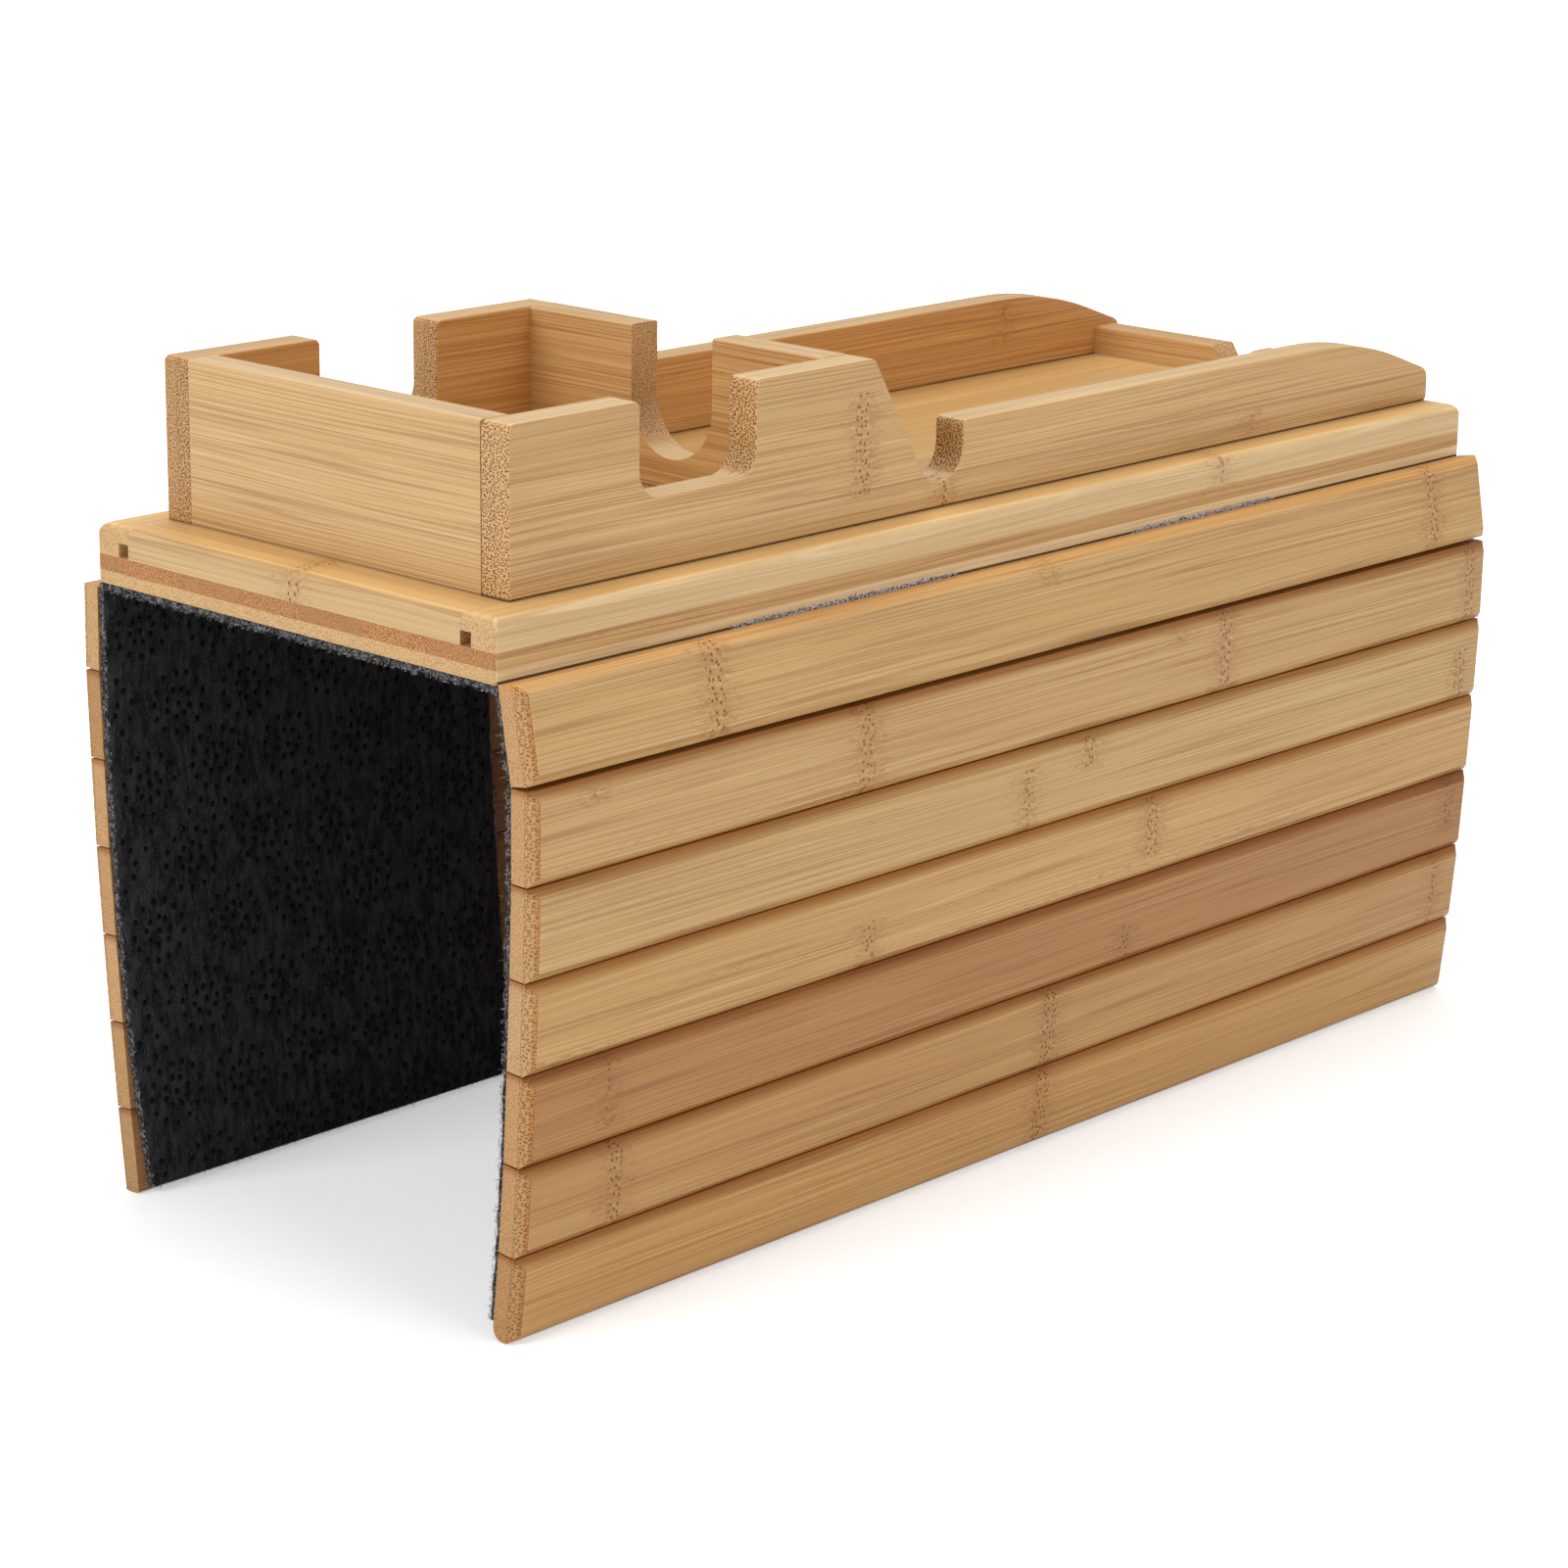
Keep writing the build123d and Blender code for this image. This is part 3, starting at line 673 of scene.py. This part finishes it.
def circle(u, v, sides):
    """Points round a circle: two directions at right angles by the cosine and sine of a turn."""
    turn = np.arange(sides) * 2 * pi / sides
    return u[..., None, :] * np.cos(turn)[:, None] + v[..., None, :] * np.sin(turn)[:, None]


def smooth_noise(u, v, seed, shortest=3.0, longest=11.0, waves=26):
    """A smooth random height over two lengths: the sum of sine waves of random direction,
    length and phase, divided by the square root of how many they are."""
    rng = np.random.default_rng(seed)
    total = 0.0
    for _ in range(waves):
        angle, phase = rng.uniform(0, 2 * pi, 2)
        wave = rng.uniform(shortest, longest) * MM
        total = total + np.sin((u * cos(angle) + v * sin(angle)) * 2 * pi / wave + phase)
    return total / sqrt(waves)


def bent_line(first, corner, last, radius, counts):
    """A straight run, the arc of a radius that touches both sides of a corner, and a straight
    run. The arc starts and ends at radius times the tangent of half the turn from the corner,
    and its points are the weighted sums of its end radii by the sines of the two part turns."""
    before, after = unit(first - corner), unit(last - corner)
    turn = pi - acos(np.clip(before @ after, -1, 1))
    reach = max(radius * tan(turn / 2), 1e-6)
    share = np.linspace(0, 1, counts[1])[:, None]
    if turn < 1e-3:
        arc = corner + before * reach + (after - before) * reach * share
    else:
        centre = corner + unit(before + after) * radius / cos(turn / 2)
        start, end = corner + before * reach - centre, corner + after * reach - centre
        arc = centre + (start * np.sin((1 - share) * turn) + end * np.sin(share * turn)) / sin(turn)
    lead = np.linspace(first, arc[0], counts[0] + 1)[:-1]
    tail = np.linspace(arc[-1], last, counts[2] + 1)[1:]
    return np.concatenate([lead, arc, tail])


class Pad:
    """The felt of one flap and half the board, as its two faces in the plane across the board."""

    def __init__(self, side):
        self.side = side
        hinges = CHAINS[side][0]
        down = slat_directions(side, SLATS - 1)[0]
        foot = hinges[-1] + down * felt_end_below[side]
        self.glued = [np.array([0.0, glued_level])] + [h[[0, 2]] for h in hinges] + [foot[[0, 2]]]
        runs = [b - a for a, b in zip(self.glued, self.glued[1:])]
        self.ways = [unit(run) for run in runs]
        self.inward = [np.array([way[1], -way[0]]) * side for way in self.ways]
        self.along = np.concatenate([[0.0], np.cumsum([np.linalg.norm(run) for run in runs])])

    def free_corner(self, n):
        """Where the free face turns: a thickness in from both runs' glued faces."""
        a, b = self.inward[n - 1], self.inward[n]
        return self.glued[n] + (a + b) * felt_thickness / (1 + a @ b)

    def cut(self, n):
        """The square cut above hinge n, on its glued and its free face, and how far it is along
        the pad. The last one is the foot."""
        back = {1: CUT_ABOVE_BOARD_SEAM, SLATS + 1: 0.0}.get(n, CUT_ABOVE_SEAM)
        glued = self.glued[n] - self.ways[n - 1] * back
        return glued, glued + self.inward[n - 1] * felt_thickness, self.along[n] - back

    def faces(self, n, step):
        """The two faces from the cut above hinge n to the next cut, and the way along the pad."""
        g0, f0, s0 = self.cut(n)
        g1, f1, s1 = self.cut(n + 1)
        radius = BOARD_SEAM_RADIUS if n == 1 else SEAM_RADIUS
        counts = (max(2, round(np.linalg.norm(self.glued[n] - g0) / step)),
                  BOARD_SEAM_POINTS if n == 1 else SEAM_POINTS,
                  round(np.linalg.norm(g1 - self.glued[n]) / step))
        glued = bent_line(g0, self.glued[n], g1, radius, counts)
        free = bent_line(f0, self.free_corner(n), f1, radius, counts)
        run = np.concatenate([[0.0], np.cumsum(np.linalg.norm(np.diff(glued, axis=0), axis=1))])
        return glued, free, self.side * (s0 + (s1 - s0) * run / run[-1])


PADS = {side: Pad(side) for side in WORD}
hinge_gap = CHAINS[1][0][0][0] - board_half


def pad_span(pad, s):
    """Where a pad starts and ends along the board, at a place along its section. The front pad's
    rear edge runs straight from one flap's length to the other's under the board. Its front edge
    drifts back on the left flap, with the square of the way from the fifth hinge to the foot."""
    if pad == "rear":
        end = board_rear - rear_pad_inset
        return np.full_like(s, end - rear_pad_length), np.full_like(s, end)
    start = board_front + front_pad_inset
    share = np.clip((s / PADS[1].along[1] + 1) / 2, 0, 1)
    length = front_pad_lengths[-1] + (front_pad_lengths[1] - front_pad_lengths[-1]) * share
    along = PADS[-1].along
    way = np.clip((-s - along[5]) / (along[-1] - along[5]), 0, 1)
    return start + felt_drift * way ** 2, start + length


def edge_wave(pad, s):
    """How far a pad's cut edge runs in and out: low smooth waves."""
    return EDGE_WAVES * smooth_noise(s, s * 0.0 + (1.0 if pad == "rear" else 2.0), 19, 3.5, 14.0)


def unevenness(s, y, rim):
    """How far the free face lies out of its plane: low smooth lumps, less a rounding that grows
    with the square of the nearness to the cut edge."""
    rounding = np.clip(1 - rim / ROUNDING_WIDTH, 0, 1) ** 2 * ROUNDING_DEPTH
    return LUMPS * smooth_noise(s, y, 7) - rounding


def felt_shell(mesh, glued, free, s, pad, side, foot):
    """One stretch of a pad: both faces swept along the board, and the four edges between them.
    Each point is its section point, at a share of the way from the pad's start to its end."""
    start, end = (edge[:, None] for edge in pad_span(pad, s))
    share = np.linspace(0, 1, COLUMNS)[None, :]
    y = start + (end - start) * share
    rim = np.minimum(share, 1 - share) * (end - start)
    if foot:
        rim = np.minimum(rim, abs(s - s[-1])[:, None])
    inward = unit(free - glued)
    lift = unevenness(s[:, None], y, rim)
    y = y + edge_wave(pad, s)[:, None] * ((1 - share) ** 14 - share ** 14)
    lower = free[:, None, :] + inward[:, None, :] * lift[..., None]
    upper = np.repeat(glued[:, None, :], COLUMNS, 1)
    points = np.stack([np.stack([face[..., 0], y, face[..., 1]], -1) for face in (lower, upper)])
    low, up = np.arange(points.size // 3).reshape(2, len(free), COLUMNS)
    face = np.concatenate([quads(low[i], low[i + 1]) for i in range(len(free) - 1)])
    back = np.concatenate([quads(up[i + 1], up[i]) for i in range(len(free) - 1)])
    near, far = quads(low[:, 0], up[:, 0]), quads(up[:, -1], low[:, -1])
    first, last = quads(up[0], low[0]), quads(low[-1], up[-1])
    groups = [(face, FACE), (back, FACE), (near, CUT), (far, CUT), (first, CUT), (last, CUT)]
    if side < 0:
        groups = [(faces[:, ::-1], slot) for faces, slot in groups]
    mesh.add(points, *groups)


# The dots stand in rings round centres on a lattice: how many at which radius, in millimetres
DOT_LATTICE = 25.0 * MM
DOTS_ROUND_CENTRE = ((0.0, 1), (4.0, 8), (8.4, 13), (12.9, 19), (17.4, 24))
CENTRE_STRAY, DOT_STRAY = 2.5 * MM, 0.22 * MM
GAP_BETWEEN_CENTRES = 3.0 * MM
DOT_MARGIN = 1.6 * MM

# A dot's shape: the radius and height of each ring, and the height of its top, in millimetres
DOT_SIDES = 8
DOT_RINGS = ((1.02, -0.30), (0.95, 0.10), (0.58, 0.30))
DOT_TOP = 0.36


def dot_pattern(rng):
    """The dots' places over the whole felt, along its section and along the board: rings round
    centres on a jittered triangular lattice, of which each keeps what is nearest to it."""
    reach = PADS[1].along[-1]
    rows = np.arange(-reach, reach, DOT_LATTICE * 0.87)
    columns = np.arange(board_front - DOT_LATTICE, board_rear + DOT_LATTICE, DOT_LATTICE)
    shift = (np.arange(len(rows)) % 2)[:, None] * DOT_LATTICE / 2
    centres = np.stack([np.repeat(rows[:, None], len(columns), 1), columns + shift], -1)
    centres = centres.reshape(-1, 2)
    centres += rng.uniform(-CENTRE_STRAY, CENTRE_STRAY, centres.shape)
    dots, own = [], []
    for radius, count in DOTS_ROUND_CENTRE:
        turn = rng.uniform(0, 2 * pi, (len(centres), 1)) + np.arange(count) * 2 * pi / count
        place = centres[:, None, :] + radius * MM * np.stack([np.cos(turn), np.sin(turn)], -1)
        dots.append(place.reshape(-1, 2))
        own.append(np.repeat(np.arange(len(centres)), count))
    dots, own = np.concatenate(dots), np.concatenate(own)
    dots += rng.normal(0, DOT_STRAY, dots.shape)
    apart = np.linalg.norm(dots[:, None, :] - centres[None], axis=2)
    mine = apart[np.arange(len(dots)), own]
    apart[np.arange(len(dots)), own] = np.inf
    return dots[mine + GAP_BETWEEN_CENTRES < apart.min(1)]


DOTS = dot_pattern(np.random.default_rng(5))


def felt_dots(mesh, glued, free, s, side, rng):
    """Low domes where the dots' places fall on this stretch: rings of a radius and a height
    round the free face's normal, closed by a point above and a flat below."""
    order = np.argsort(s)
    low, high = s.min(), s.max()
    dots = DOTS[(DOTS[:, 0] > low) & (DOTS[:, 0] <= high)]
    foot = PADS[side].along[-1]
    dots = dots[abs(dots[:, 0]) < foot - DOT_MARGIN]
    inside = np.zeros(len(dots), bool)
    x = np.interp(dots[:, 0], s[order], free[order, 0])
    for pad in ("front", "rear"):
        start, end = pad_span(pad, dots[:, 0])
        inside |= (dots[:, 1] > start + DOT_MARGIN) & (dots[:, 1] < end - DOT_MARGIN)
    dots, x = dots[inside], x[inside]
    if not len(dots):
        return
    z = np.interp(dots[:, 0], s[order], free[order, 1])
    inward = free - glued
    out = unit(np.stack([np.interp(dots[:, 0], s[order], inward[order, k]) for k in (0, 1)], -1))
    base = np.stack([x, dots[:, 1], z], -1)
    normal = np.stack([out[:, 0], 0 * x, out[:, 1]], -1)
    base += normal * unevenness(dots[:, 0], dots[:, 1], 1.0)[:, None]
    size = rng.uniform(0.88, 1.08, len(dots))[:, None, None, None]
    spread = circle(np.cross(normal, Y), np.array(Y), DOT_SIDES)
    rings = np.array(DOT_RINGS) * MM
    radii, heights = rings[None, :, 0, None, None], rings[None, :, 1, None, None]
    outline = spread[:, None] * radii + normal[:, None, None, :] * heights
    points = base[:, None, None, :] + outline * size
    top = base + normal * DOT_TOP * MM * size[:, 0, 0]
    block = np.concatenate([points.reshape(len(dots), -1, 3), top[:, None, :]], 1)
    number = np.arange(len(rings) * DOT_SIDES).reshape(len(rings), DOT_SIDES)
    ring = np.concatenate([number, number[:, :1]], 1)
    sides = np.concatenate([quads(ring[i], ring[i + 1]) for i in range(len(rings) - 1)])
    cap = np.stack([ring[-1, :-1], ring[-1, 1:], np.full(DOT_SIDES, number.size)], -1)
    flat = np.stack([number[0, [0, k + 2, k + 1]] for k in range(DOT_SIDES - 2)])
    mesh.add(block, *[(repeated(faces, *block.shape[:2]), DOT) for faces in (sides, cap, flat)])


def spikes(mesh, start, way, length, thick, rng, slot=FIBRE):
    """Single fibres: thin three-sided spikes that bend once, from a root towards a way and a
    second way near it. A side is the root's point turned a third of a circle round the way."""
    way = unit(way)
    bend = unit(way + rng.normal(0, 0.7, way.shape))
    knee = start + way * length * 0.55
    tip = knee + bend * length * 0.45
    u = unit(np.cross(way, rng.normal(0, 1, way.shape)))
    spread = circle(u, np.cross(way, u), 3)
    root = (start - way * 0.2 * MM)[:, None, :] + spread * thick[:, None, None]
    middle = knee[:, None, :] + spread * thick[:, None, None] * 0.8
    block = np.concatenate([root, middle, tip[:, None, :]], 1)
    faces = np.array([[0, 1, 4, 3], [1, 2, 5, 4], [2, 0, 3, 5]])
    ends = np.array([[3, 4, 6], [4, 5, 6], [5, 3, 6], [0, 2, 1]])
    mesh.add(block, *[(repeated(shape, *block.shape[:2]), slot) for shape in (faces, ends)])


def felt_fuzz(mesh, glued, free, s, pad, side, foot, rng):
    """Loose fibres round the cut edges. Half of them stand out of the edge, and half lie along
    it or over the face beside it."""
    total = abs(s[-1] - s[0])
    inward = unit(free - glued)
    tangent = unit(np.gradient(glued, axis=0))
    order = np.argsort(s)

    def place(rows, at):
        return np.stack([np.interp(at, s[order], rows[order, k]) for k in (0, 1)], -1)

    def upright(rows, along):
        return np.stack([rows[:, 0], rows[:, 0] * 0 + along, rows[:, 1]], -1)

    starts, ways = [], []
    for end in (0, 1):
        count = int(total / MM * EDGE_FIBRES)
        at = s.min() + rng.uniform(0, 1, count) * total
        depth = rng.uniform(0.12, 1.0, count) * felt_thickness
        spot = place(glued, at) + place(inward, at) * depth[:, None]
        y = pad_span(pad, at)[end] + edge_wave(pad, at) * (1 - 2 * end)
        starts.append(np.stack([spot[:, 0], y, spot[:, 1]], -1))
        away = 2.0 * end - 1.0
        lying = upright(place(tangent, at) * rng.choice([-1.5, 1.5], count)[:, None], away * 0.4)
        standing = upright(place(inward, at) * 0.2, away)
        ways.append(np.where(rng.uniform(0, 1, (count, 1)) < 0.5, lying, standing))
    if foot:
        low, high = (edge[0] for edge in pad_span(pad, s[-1:]))
        count = int((high - low) / MM * FOOT_FIBRES)
        spot = glued[-1] + inward[-1] * (rng.uniform(0.1, 0.95, count) * felt_thickness)[:, None]
        starts.append(np.stack([spot[:, 0], rng.uniform(low, high, count), spot[:, 1]], -1))
        ways.append(np.tile(slat_directions(side, SLATS - 1)[0], (count, 1)))
    start, way = np.concatenate(starts), np.concatenate(ways)
    way = way + rng.normal(0, 0.45, way.shape)
    length = rng.gamma(2.4, 0.30, len(start))[:, None].clip(0.25, 2.4) * MM
    spikes(mesh, start, way, length, rng.uniform(0.035, 0.065, len(start)) * MM, rng)


def seam_fuzz(mesh, rng):
    """Felt squeezed up between the board and the right flap's first slat: fibres that stand up
    out of the gap, thinning out towards the ends of each stretch."""
    for low, high in SQUEEZED:
        count = int((high - low) / MM * SEAM_FIBRES)
        y = rng.uniform(low, high, count)
        near_end = np.minimum(y - low, high - y) / (12.0 * MM)
        keep = rng.uniform(0, 1, count) < near_end
        y = y[keep]
        gap = hinge_gap * rng.uniform(0.15, 0.85, len(y))
        start = np.stack([board_half + gap, y, glued_level + rng.uniform(0.1, 1.1, len(y)) * MM], -1)
        way = rng.normal(0, 0.7, start.shape) + np.array([0.15, 0.0, 0.9])
        length = rng.gamma(3.0, 0.25, len(y))[:, None].clip(0.3, 1.6) * MM
        spikes(mesh, start, way, length, rng.uniform(0.05, 0.09, len(y)) * MM, rng, SEAM_FIBRE)


def felt_piece(name, side, glued, free, s, foot, seed):
    """One stretch of both pads, with its dots and loose fibres."""
    rng = np.random.default_rng(seed)
    mesh = Mesh()
    for pad in ("front", "rear"):
        felt_shell(mesh, glued, free, s, pad, side, foot)
        felt_fuzz(mesh, glued, free, s, pad, side, foot, rng)
    felt_dots(mesh, glued, free, s, side, rng)
    if name == "felt_right_1_pads":
        seam_fuzz(mesh, rng)
    piece = mesh.build(name)
    return piece


def felt_flat(s):
    """How wide and long both pads' stretch is when it lies flat, laid side by side."""
    front, rear = (pad_span(pad, s) for pad in ("front", "rear"))
    length = float((front[1] - front[0] + rear[1] - rear[0]).mean())
    return float(abs(s[-1] - s[0])), length


def centre_felt(step):
    """The pads' straight stretch under the board, between the two flaps' first cuts."""
    reach = PADS[1].cut(1)[0][0]
    x = np.linspace(-reach, reach, round(2 * reach / step) + 1)
    glued = np.stack([x, np.full_like(x, glued_level)], -1)
    return glued, glued - np.array([0.0, felt_thickness]), x


glued, free, s = centre_felt(BOARD_STEP)
centre = felt_piece("board_felt_pads", 1, glued, free, s, False, 40)
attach(centre, "tray")
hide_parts("board_felt")
felt_flat(s)

for side, word in WORD.items():
    pad = PADS[side]
    for n in range(1, SLATS + 1):
        glued, free, s = pad.faces(n, FLAP_STEP)
        seed = 50 + 10 * side + n
        piece = felt_piece(f"felt_{word}_{n}_pads", side, glued, free, s, n == SLATS, seed)
        reach = BOARD_SEAM_REACH if n == 1 else SEAM_REACH
        start, end = pad.glued[n] - pad.ways[n - 1] * reach, pad.glued[n] + pad.ways[n] * reach
        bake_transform(piece)
        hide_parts(f"felt_{word}_{n}")
        felt_flat(s)


# Camera


# In degrees, in millimetres and in the photo's pixels
CAMERA_BEARING, CAMERA_HEIGHT, CAMERA_ROLL = 43.06194, 15.85633, 0.71698
CAMERA_PLACE = (806.19, -756.63, 261.83)
SENSOR_WIDTH = 36.0
PHOTO_WIDTH, FOCAL_LENGTH = 1601, 4390.57


def photo_camera():
    """Looks along a bearing and a height from the object, and is rolled a little."""
    bearing, height, roll = map(radians, (CAMERA_BEARING, CAMERA_HEIGHT, CAMERA_ROLL))
    back = Vector((sin(bearing) * cos(height), -cos(bearing) * cos(height), sin(height)))
    level = Vector(Z).cross(back).normalized()
    upright = back.cross(level)
    right = level * cos(roll) + upright * sin(roll)
    up = upright * cos(roll) - level * sin(roll)
    data = bpy.data.cameras.new("photo_camera")
    data.sensor_width = SENSOR_WIDTH
    data.lens = FOCAL_LENGTH / PHOTO_WIDTH * SENSOR_WIDTH
    data.clip_start, data.clip_end = 0.01, 100.0
    camera = added("photo_camera", data)
    turn = Matrix([right, up, back]).transposed().to_4x4()
    camera.matrix_world = Matrix.Translation(Vector(CAMERA_PLACE) * MM) @ turn
    bpy.context.scene.camera = camera


# Floor and light


def floor_material():
    """Pale paper that takes a soft shadow, and glows only for the camera, which lifts it
    towards white."""
    paint = Paint("pale_floor")
    grain = paint.noise(paint.object_place(), 30.0, 3.0)
    paper = paint.blend(grain, (0.78, 0.78, 0.78), (0.82, 0.82, 0.82))
    diffuse = paint.node("ShaderNodeBsdfDiffuse", {}, {"Color": paper})
    seen = paint.node("ShaderNodeLightPath", output="Is Camera Ray")
    apart = paint.node("ShaderNodeVectorMath", {"operation": "LENGTH"},
                       {0: paint.object_place()}, output="Value")
    lift = 0.45 + apart.ramp(0.5, 2.2) * 0.7
    glow = paint.node("ShaderNodeEmission", {}, {"Color": colour((1.0, 1.0, 1.0)),
                                                 "Strength": seen * lift})
    return paint.output(paint.node("ShaderNodeAddShader", {}, {0: diffuse, 1: glow}))


def floor():
    """A square plane under the flaps."""
    level = cad_box[0][2]
    half = 9.0
    mesh = bpy.data.meshes.new("floor")
    corners = half * np.array([[-1, -1, 0], [1, -1, 0], [1, 1, 0], [-1, 1, 0]])
    corners = corners + np.array([0, 0, level])
    mesh.from_pydata(corners.tolist(), [], [(0, 1, 2, 3)])
    mesh.materials.append(floor_material())
    obj = added("floor", mesh)


def softbox(name, place, target, size, power):
    """A square area lamp that faces a target."""
    data = bpy.data.lights.new(name, "AREA")
    data.shape = "SQUARE"
    data.size = size
    data.energy = power
    lamp = added(name, data)
    lamp.location = place
    lamp.rotation_euler = (Vector(target) - Vector(place)).to_track_quat("-Z", "Y").to_euler()


def world_light(strength):
    """An even sky, white where the camera sees it."""
    world = bpy.data.worlds.new("studio")
    world.use_nodes = True
    tree = world.node_tree
    tree.nodes.clear()
    path = tree.nodes.new("ShaderNodeLightPath")
    seen = tree.nodes.new("ShaderNodeMapRange")
    tree.links.new(path.outputs["Is Camera Ray"], seen.inputs["Value"])
    seen.inputs["To Min"].default_value = strength
    seen.inputs["To Max"].default_value = 1.0
    background = tree.nodes.new("ShaderNodeBackground")
    tree.links.new(seen.outputs[0], background.inputs["Strength"])
    output = tree.nodes.new("ShaderNodeOutputWorld")
    tree.links.new(background.outputs[0], output.inputs["Surface"])
    bpy.context.scene.world = world


middle = (0.0, 0.12, -0.03)
photo_camera()
floor()
softbox("front_softbox", (-0.35, -1.9, 0.9), middle, 1.2, 26.0)
softbox("side_softbox", (1.9, 0.1, 0.8), middle, 1.2, 14.0)
softbox("top_softbox", (-0.3, 0.5, 1.7), middle, 1.4, 22.0)
world_light(0.45)
bpy.context.scene.view_settings.view_transform = "Standard"
